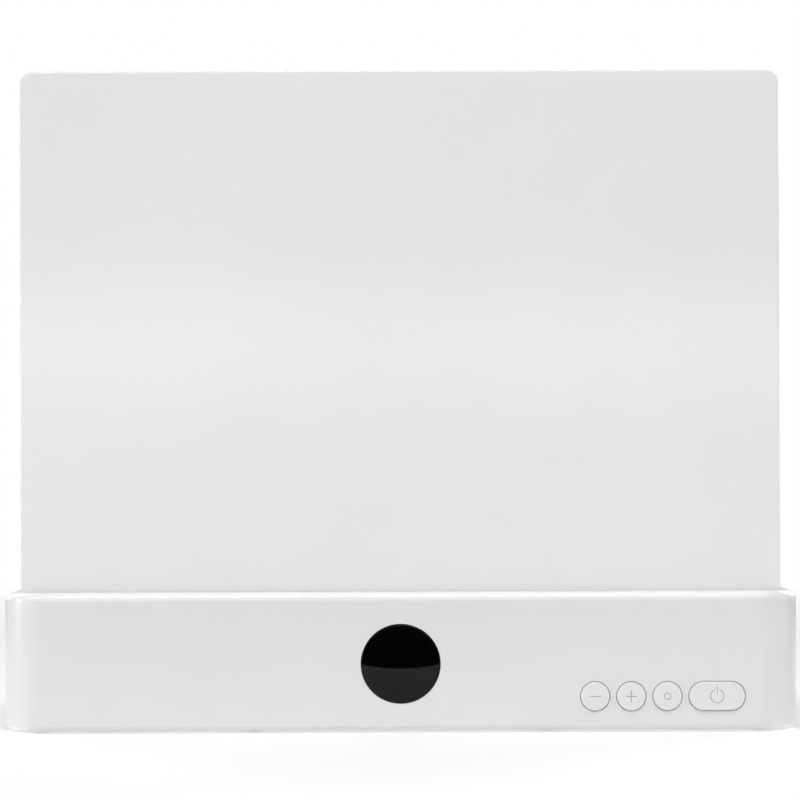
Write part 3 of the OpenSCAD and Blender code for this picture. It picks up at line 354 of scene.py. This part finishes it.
for cad_node in NODES.values():
    named = cad_node.data.materials[0].name.split(".")[0]
    cad_node.data.materials[0] = MATERIALS[named]


# Shapes that stand for CAD nodes


def solid(name, build, slot, body, node):
    """Makes a piece from the mesh in build, in place of a CAD node."""
    bmesh.ops.recalc_face_normals(build, faces=build.faces)
    mesh = bpy.data.meshes.new(name)
    build.to_mesh(mesh)
    build.free()
    piece = bpy.data.objects.new(name, mesh)
    bpy.context.scene.collection.objects.link(piece)
    mesh.materials.append(MATERIALS[slot])
    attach(piece, body)
    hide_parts(node)
    return piece


def smooth(mesh, crisp_angle=45.0):
    """Smooth shading that stops at edges which turn by more than crisp_angle degrees."""
    mesh.polygons.foreach_set("use_smooth", [True] * len(mesh.polygons))
    mesh.set_sharp_from_angle(angle=math.radians(crisp_angle))


def loft(build, loops):
    """Quads between closed loops that have as many vertices each."""
    for near, far in zip(loops, loops[1:]):
        for i, vert in enumerate(near):
            j = (i + 1) % len(near)
            build.faces.new((vert, near[j], far[j], far[i]))


def fan(build, centre, loop):
    for i, vert in enumerate(loop):
        build.faces.new((centre, vert, loop[(i + 1) % len(loop)]))


def disc(x, z, radius, steps=48):
    """The points of a circle in x and z."""
    turns = (2 * math.pi * i / steps for i in range(steps))
    return [(x + radius * math.cos(t), z + radius * math.sin(t)) for t in turns]


SEGMENTS = 256
WELD = 0.001 * MM


# The base housing, whose lower edge gets a full round

HOUSING_CORNER = 16.0 * MM
WALL_SLACK = 0.05 * MM
CHAMFER = 0.5 * MM
FOOT_R = 2.0 * MM
FOOT_STEPS = 8
HOUSING_CRISP = 30.0
# The least share of its normal along one axis that makes a face flat
FLAT = 0.99999
# Cosine of the most that a normal beside a flat face may lean
NEARLY_FLAT = math.cos(math.radians(15.0))


def is_flat(face):
    return max(abs(share) for share in face.normal) > FLAT


def keep_walls_flat(mesh):
    """Turns the normals on and beside a flat face squarely to it, so that only the rounds shade softly."""
    flat = {}
    for face in mesh.polygons:
        if is_flat(face):
            for vert in face.vertices:
                flat.setdefault(vert, []).append(face.normal.copy())
    normals = [(0.0, 0.0, 0.0)] * len(mesh.loops)
    for face in mesh.polygons:
        for index, vert in zip(face.loop_indices, face.vertices):
            corner = mesh.corner_normals[index].vector
            near = [n for n in flat.get(vert, ()) if n.dot(corner) > NEARLY_FLAT]
            if is_flat(face):
                normals[index] = face.normal.copy()
            elif near:
                normals[index] = near[0]
    mesh.normals_split_custom_set(normals)


def base_housing():
    low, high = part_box("base_housing")
    build = bmesh.new()
    build.from_mesh(NODES["base_housing"].data)
    bmesh.ops.remove_doubles(build, verts=build.verts, dist=WELD)
    straight_x, straight_y = high.x - HOUSING_CORNER, high.y - HOUSING_CORNER

    def outwards(co):
        """From the middle of the nearest corner's arc, or squarely from a straight wall, to co."""
        return Vector((co.x - max(-straight_x, min(straight_x, co.x)),
                       co.y - max(-straight_y, min(straight_y, co.y)), 0.0))

    def in_wall(v):
        return outwards(v.co).length > HOUSING_CORNER - CHAMFER - WALL_SLACK

    for step in range(FOOT_STEPS):
        rise = FOOT_R * (1 - math.sin(math.radians(90.0) * step / FOOT_STEPS))
        wall = [f for f in build.faces if all(in_wall(v) for v in f.verts)]
        parts = wall + list({e for f in wall for e in f.edges}) + list({v for f in wall for v in f.verts})
        bmesh.ops.bisect_plane(
            build, geom=parts, plane_co=(0.0, 0.0, low.z + rise), plane_no=(0.0, 0.0, 1.0))
    for v in build.verts:
        rise = v.co.z - low.z
        if rise < FOOT_R and in_wall(v):
            inset = FOOT_R - math.sqrt(FOOT_R ** 2 - (FOOT_R - rise) ** 2)
            cut_off = max(0.0, CHAMFER - rise)
            v.co -= outwards(v.co).normalized() * (inset - cut_off)
    bmesh.ops.dissolve_degenerate(build, dist=WELD, edges=build.edges)
    piece = solid("housing_shell", build, "white_shell", "lamp", "base_housing")
    smooth(piece.data, HOUSING_CRISP)
    keep_walls_flat(piece.data)


base_housing()


# The display window, a revolve

DOME_RISE = 0.6 * MM
WINDOW_EDGE = 0.5 * MM
WINDOW_FLANGE_W = 1.85 * MM
WINDOW_FLANGE_T = 1.2 * MM
DOME_RINGS = 44
EDGE_STEPS = 8


def window_profile(front, back, flange_r):
    """Radius and depth of the window's outline, from near the middle of its face to its back."""
    radius = flange_r - WINDOW_FLANGE_W
    dome_r = (radius ** 2 + DOME_RISE ** 2) / (2 * DOME_RISE)

    def dome(r):
        return front + dome_r - math.sqrt(dome_r ** 2 - r ** 2)

    dome_end = radius - WINDOW_EDGE
    rings = [dome_end * (i + 1) / DOME_RINGS for i in range(DOME_RINGS)]
    points = [(r, dome(r)) for r in rings]
    for step in range(1, EDGE_STEPS + 1):
        turn = math.radians(90.0) * step / EDGE_STEPS
        y = dome(dome_end) + WINDOW_EDGE * (1 - math.cos(turn))
        points.append((dome_end + WINDOW_EDGE * math.sin(turn), y))
    shoulder = back - WINDOW_FLANGE_T
    return points + [(radius, shoulder), (flange_r, shoulder), (flange_r, back)]


def display_window():
    low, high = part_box("display_window")
    centre = (low + high) / 2
    build = bmesh.new()
    loops = []
    for r, y in window_profile(low.y, high.y, (high.x - low.x) / 2):
        circle = disc(centre.x, centre.z, r, SEGMENTS)
        loops.append([build.verts.new((x, y, z)) for x, z in circle])
    fan(build, build.verts.new((centre.x, low.y, centre.z)), loops[0])
    loft(build, loops)
    build.faces.new(loops[-1])
    piece = solid("window_lens", build, "window_black", "lamp", "display_window")
    smooth(piece.data)


display_window()


# The keys, with their signs cut into their faces

KEY_EDGE = 0.4 * MM
FLANGE_DEPTH = 3.2 * MM
FLANGE_T = 1.0 * MM
FLANGE_SHORT = 3.4 * MM
FLANGE_CORNER = 1.0 * MM
OVERLAP = 0.2 * MM
SHANK_R = 3.0 * MM
NUB_R = 1.5 * MM
NUB_L = 0.5 * MM
POST_R = 1.6 * MM
POST_INSET = 4.05 * MM
GROOVE_HALF = 0.21 * MM
GROOVE_DEPTH = 0.2 * MM
# The share of a groove's half width that slopes
GROOVE_WALL = 0.7
NET_HALF = 2.6 * MM
POLAR_R = 4.3 * MM
POLAR_RINGS = 52
MORPH_STEPS = 8


def line(x0, z0, x1, z1):
    """The distance to a straight stroke, as a function of a place on the key's face. Its ends are in mm."""
    start, run = Vector((x0, z0)) * MM, Vector((x1 - x0, z1 - z0)) * MM

    def away(x, z):
        spot = Vector((x, z)) - start
        share = min(1.0, max(0.0, spot.dot(run) / run.length_squared))
        return (spot - run * share).length
    return away


def ring(radius, gap):
    """The distance to a round stroke, radius in mm, that is open at its top by gap degrees to both sides."""
    radius, gap = radius * MM, math.radians(gap)

    def away(x, z):
        if abs(math.atan2(x, z)) >= gap:
            return abs(math.hypot(x, z) - radius)
        return math.hypot(abs(x) - radius * math.sin(gap), z - radius * math.cos(gap))
    return away


def cut(strokes, x, z):
    """How deep the sign is cut at a place: rounded grooves along its strokes."""
    reach = 1.0 - min(stroke(x, z) for stroke in strokes) / GROOVE_HALF
    share = min(1.0, max(0.0, reach / GROOVE_WALL))
    return GROOVE_DEPTH * share * share * (3 - 2 * share)


def on_pill(turn, straight, radius):
    """Where the ray at the angle turn leaves a pill whose ends are straight from its middle."""
    c, s = math.cos(turn), math.sin(turn)
    if radius * abs(c) <= straight * abs(s):
        return radius * c / abs(s), math.copysign(radius, s)
    reach = straight * abs(c) + math.sqrt(radius ** 2 - (straight * s) ** 2)
    return reach * c, reach * s


def net_core(build, place):
    """Makes a square net for a sign of straight strokes, and returns its rim."""
    cells = SEGMENTS // 4
    spots = [NET_HALF * (2 * i / cells - 1) for i in range(cells + 1)]
    net = [[build.verts.new(place(x, z)) for z in spots] for x in spots]
    for i in range(cells):
        for k in range(cells):
            build.faces.new((net[i][k], net[i + 1][k], net[i + 1][k + 1], net[i][k + 1]))
    return ([net[i][0] for i in range(cells)] + [net[cells][k] for k in range(cells)]
            + [net[cells - i][cells] for i in range(cells)] + [net[0][cells - k] for k in range(cells)])


def polar_core(build, place):
    """Makes a round net for a sign of rings, and returns its rim."""
    loops = []
    for step in range(POLAR_RINGS):
        circle = disc(0.0, 0.0, POLAR_R * (step + 1) / POLAR_RINGS, SEGMENTS)
        loops.append([build.verts.new(place(x, z)) for x, z in circle])
    fan(build, build.verts.new(place(0.0, 0.0)), loops[0])
    loft(build, loops)
    return loops[-1]


def prism(build, outline, near, far):
    """A closed solid of one outline, which lies in x and z, from one depth to another."""
    loops = [[build.verts.new((x, y, z)) for x, z in outline] for y in (near, far)]
    loft(build, loops)
    for loop in loops:
        build.faces.new(loop)


def round_box(centre, half_w, half_h, radius, steps=8):
    """The outline of a rectangle with round corners."""
    points = []
    for quarter, (sx, sz) in enumerate(((1, 1), (-1, 1), (-1, -1), (1, -1))):
        for step in range(steps + 1):
            turn = math.radians(90.0) * (quarter + step / steps)
            points.append((centre.x + sx * (half_w - radius) + radius * math.cos(turn),
                           centre.z + sz * (half_h - radius) + radius * math.sin(turn)))
    return points


def key_cap(centre, front, straight, radius, strokes, core):
    """The cap: its face with the sign, its rounded edge and its side, down into the flange."""
    build = bmesh.new()

    def place(x, z):
        return centre.x + x, front + cut(strokes, x, z), centre.z + z

    rim = core(build, place)
    turns = [math.atan2(v.co.z - centre.z, v.co.x - centre.x) for v in rim]

    def outline(inset, y):
        spots = (on_pill(t, straight, radius - inset) for t in turns)
        return [build.verts.new((centre.x + x, y, centre.z + z)) for x, z in spots]

    flat = outline(KEY_EDGE, front)
    between = [
        [build.verts.new(a.co.lerp(b.co, step / MORPH_STEPS)) for a, b in zip(rim, flat)]
        for step in range(1, MORPH_STEPS)]
    edge = []
    for step in range(1, EDGE_STEPS + 1):
        turn = math.radians(90.0) * step / EDGE_STEPS
        edge.append(outline(KEY_EDGE * (1 - math.sin(turn)), front + KEY_EDGE * (1 - math.cos(turn))))
    foot = outline(0.0, front + FLANGE_DEPTH + OVERLAP)
    loft(build, [rim] + between + [flat] + edge + [foot])
    build.faces.new(foot)
    return build


def joined(piece, parts):
    """Unites the piece's mesh with those of parts, which are then deleted."""
    for part in parts:
        union = piece.modifiers.new(part.name, "BOOLEAN")
        union.operation = "UNION"
        union.solver = "EXACT"
        union.object = part
    shape = piece.evaluated_get(bpy.context.evaluated_depsgraph_get())
    mesh = bpy.data.meshes.new_from_object(shape)
    piece.modifiers.clear()
    piece.data = mesh
    for part in parts:
        bpy.data.objects.remove(part)


def block(outline, near, far):
    """A closed solid of its own, to be united with a piece."""
    build = bmesh.new()
    prism(build, outline, near, far)
    bmesh.ops.recalc_face_normals(build, faces=build.faces)
    mesh = bpy.data.meshes.new("part")
    build.to_mesh(mesh)
    build.free()
    made = bpy.data.objects.new("part", mesh)
    bpy.context.scene.collection.objects.link(made)
    return made


def key(name, strokes, core):
    """A key: its cap, the flange that keeps it in, its shank with a nub, and two posts on a long key."""
    low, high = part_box(name + "_button")
    round_low, round_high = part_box("minus_button")
    radius = (round_high.x - round_low.x) / 2
    straight = (high.x - low.x) / 2 - radius
    centre = (low + high) / 2
    build = key_cap(centre, low.y, straight, radius, strokes, core)
    piece = solid(name + "_key_cap", build, "key_white", name + "_key", name + "_button")

    flange_y = low.y + FLANGE_DEPTH
    half_w = straight + radius - FLANGE_SHORT / 2
    half_h = (high.z - low.z) / 2
    shank_end = high.y - NUB_L
    outlines = [
        (round_box(centre, half_w, half_h, FLANGE_CORNER), flange_y, flange_y + FLANGE_T),
        (disc(centre.x, centre.z, SHANK_R), flange_y + FLANGE_T - OVERLAP, shank_end),
        (disc(centre.x, centre.z, NUB_R), shank_end - OVERLAP, high.y)]
    if straight > radius / 2:
        reach = straight + radius - POST_INSET
        for side in (-1, 1):
            post = disc(centre.x + side * reach, centre.z, POST_R)
            outlines.append((post, flange_y + FLANGE_T - OVERLAP, shank_end))
    joined(piece, [block(outline, near, far) for outline, near, far in outlines])
    smooth(piece.data)
    # How deep each point is cut, which the key finish turns into painted shade in the grooves.
    depths = piece.data.attributes.new(ENGRAVED, "FLOAT", "POINT")
    shares = [cut(strokes, v.co.x - centre.x, v.co.z - centre.z) / GROOVE_DEPTH
              if v.co.y < low.y + KEY_EDGE else 0.0 for v in piece.data.vertices]
    depths.data.foreach_set("value", shares)


key("minus", [line(-2.05, 0, 2.05, 0)], net_core)
key("plus", [line(-1.9, 0, 1.9, 0), line(0, -2.1, 0, 2.1)], net_core)
key("mode", [ring(1.2, 0)], polar_core)
key("power", [ring(2.55, 25), line(0, 0.9, 0, 3.5)], polar_core)


# Stage: the floor, and a dark card in front that only the gloss of the lamp shows

FLOOR_REACH = 1.2
FLOOR_Z = -0.02 * MM
# How far from the middle the floor starts to fade, and is gone
FLOOR_FADE = (0.5, 1.1)
# Painted light under the lamp, which lifts its contact shadow, and how far past its outline it fades
GLOW = 0.36
GLOW_FADE = 2.0 * MM
FLAG_Z = 0.4 * MM
FLAG_SIDE = 1.5
FLAG_FAR = -6.0
FLAG_EDGE = -0.28
# How sharply the card's near edge bends, and half the width of the bend
FLAG_BEND = 15.0
FLAG_HALF = 0.1
FLAG_STEPS = 20


def card(name, outline, z, material):
    """A level face that belongs to the stage, from its outline in x and y."""
    mesh = bpy.data.meshes.new(name)
    build = bmesh.new()
    build.faces.new([build.verts.new((x, y, z)) for x, y in outline])
    build.to_mesh(mesh)
    build.free()
    mesh.materials.append(material)
    made = bpy.data.objects.new(name, mesh)
    bpy.context.scene.collection.objects.link(made)
    return made


def floor_finish():
    """Pale matt floor that fades out all round, and that glows a little where the lamp covers it: painted
    light that lifts the contact shadow under the lamp.
    """
    finish = Finish("floor", grey(0.85), 0.7, grain=(260.0, 2e-5), wear_and_highlight=0.0, tint=0.005, specular=0.1)
    tree = finish.tree
    below = add(tree, "ShaderNodeNewGeometry").outputs["Backfacing"]
    away = combine_vectors(tree, "LENGTH", finish.place(), result="Value")
    hidden = combine(tree, "MAXIMUM", below, remap(tree, away, FLOOR_FADE))
    clear = add(tree, "ShaderNodeBsdfTransparent").outputs["BSDF"]
    pale = tree.nodes["Principled BSDF"].outputs["BSDF"]
    mixed = add(tree, "ShaderNodeMixShader", {0: hidden, 1: pale, 2: clear}).outputs["Shader"]
    tree.links.new(mixed, tree.nodes["Material Output"].inputs["Surface"])

    high = CAD_BOUNDS[1]
    reach = (high[0] - GLOW_FADE, high[1] - GLOW_FADE, 1.0)
    spot = combine_vectors(tree, "ABSOLUTE", finish.place())
    over = combine_vectors(tree, "SUBTRACT", spot, reach)
    beyond = combine_vectors(tree, "MAXIMUM", over, (0.0, 0.0, 0.0))
    past = combine_vectors(tree, "LENGTH", beyond, result="Value")
    finish.feed("Emission Strength", remap(tree, past, (0.0, GLOW_FADE), (GLOW, 0.0)))
    finish.shader["Emission Color"].default_value = rgba(WHITE)
    return finish.material


def floor():
    corners = ((-1, -1), (1, -1), (1, 1), (-1, 1))
    card("floor", [(x * FLOOR_REACH, y * FLOOR_REACH) for x, y in corners], FLOOR_Z, floor_finish())


def flag_edge(x):
    """Where the card's near edge lies, which bends away from the lamp to both sides of its middle."""
    return FLAG_EDGE - FLAG_BEND * x ** 2


def dark_front():
    end = flag_edge(FLAG_HALF)
    bend = (FLAG_HALF * (1 - 2 * step / FLAG_STEPS) for step in range(FLAG_STEPS + 1))
    outline = [(-FLAG_SIDE, FLAG_FAR), (FLAG_SIDE, FLAG_FAR), (FLAG_SIDE, end)]
    outline += [(x, flag_edge(x)) for x in bend]
    outline.append((-FLAG_SIDE, end))
    finish = Finish("flag", grey(0.004), 0.9, specular=0.0, wear_and_highlight=0.0)
    flag = card("dark_front", outline, FLAG_Z, finish.material)
    flag.visible_camera = False
    flag.visible_diffuse = False
    flag.visible_shadow = False


floor()
dark_front()


# Lights, world and camera

FRONT_TARGET = (0.0, -0.045, 0.05)
SIDE_TARGET = (0.0, 0.0, 0.1)
BACK_TARGET = (0.0, 0.0, 0.12)

# Each light's width and height, place, target and power in watts
LIGHTS = {
    "front": ((2.2, 0.47), (0.0, -1.64, 0.88), FRONT_TARGET, 9.5),
    "high": ((2.2, 0.47), (0.0, -0.59, 1.77), FRONT_TARGET, 27.0),
    "left": ((0.5, 0.9), (-1.7, -0.35, 0.5), SIDE_TARGET, 12.3),
    "right": ((0.5, 0.9), (1.7, -0.2, 0.5), SIDE_TARGET, 4.8),
    "strip": ((1.2, 0.09), (0.0, -1.03, 0.2), (0.0, 0.0, 0.2), 0.57),
    "back_left": ((1.0, 1.3), (-1.5, 1.6, 1.1), BACK_TARGET, 16.0),
    "back_right": ((1.0, 1.3), (1.5, 1.6, 1.1), BACK_TARGET, 23.0),
    "backdrop": ((4.0, 1.2), (0.0, 1.3, 0.6), (0.0, 0.0, 0.6), 10.0),
}
SEEN_ONLY_IN_GLOSS = ("backdrop",)
# The world's strength for all but the camera
FILL = 0.02
LENS = 108.0
SENSOR = 36.0
SHIFT_UP = 0.08625
CAMERA_PLACE = (0.0, -0.955, 0.1)
CAMERA_LEAN = 0.21


def softbox(name, size, place, target, watts):
    """An area light that looks at target, and that the camera doesn't see."""
    data = bpy.data.lights.new(name, "AREA")
    data.shape = "RECTANGLE"
    data.size, data.size_y = size
    data.energy = watts
    light = bpy.data.objects.new(name, data)
    light.location = place
    light.rotation_euler = (Vector(target) - Vector(place)).to_track_quat("-Z", "Y").to_euler()
    light.visible_camera = False
    light.visible_diffuse = name not in SEEN_ONLY_IN_GLOSS
    bpy.context.scene.collection.objects.link(light)


def studio():
    """A world that is white to the camera and lights the lamp only a little."""
    world = bpy.data.worlds.new("studio")
    world.use_nodes = True
    bpy.context.scene.world = world
    sky = world.node_tree
    seen = add(sky, "ShaderNodeBackground", {"Color": rgba(WHITE), "Strength": 1.0})
    fill = add(sky, "ShaderNodeBackground", {"Color": rgba(WHITE), "Strength": FILL})
    by_camera = add(sky, "ShaderNodeLightPath").outputs["Is Camera Ray"]
    both = add(sky, "ShaderNodeMixShader", {
        0: by_camera, 1: fill.outputs["Background"], 2: seen.outputs["Background"]})
    sky.links.new(both.outputs["Shader"], sky.nodes["World Output"].inputs["Surface"])


def camera():
    """Squarely in front of the lamp, leaning as the photo does."""
    data = bpy.data.cameras.new("camera")
    data.lens = LENS
    data.sensor_width = SENSOR
    data.shift_y = SHIFT_UP
    made = bpy.data.objects.new("camera", data)
    made.location = CAMERA_PLACE
    made.rotation_euler = (math.radians(90.0), math.radians(CAMERA_LEAN), 0.0)
    bpy.context.scene.collection.objects.link(made)
    bpy.context.scene.camera = made
    bpy.context.scene.view_settings.view_transform = "Standard"


for light_name, light_facts in LIGHTS.items():
    softbox(light_name, *light_facts)
studio()
camera()
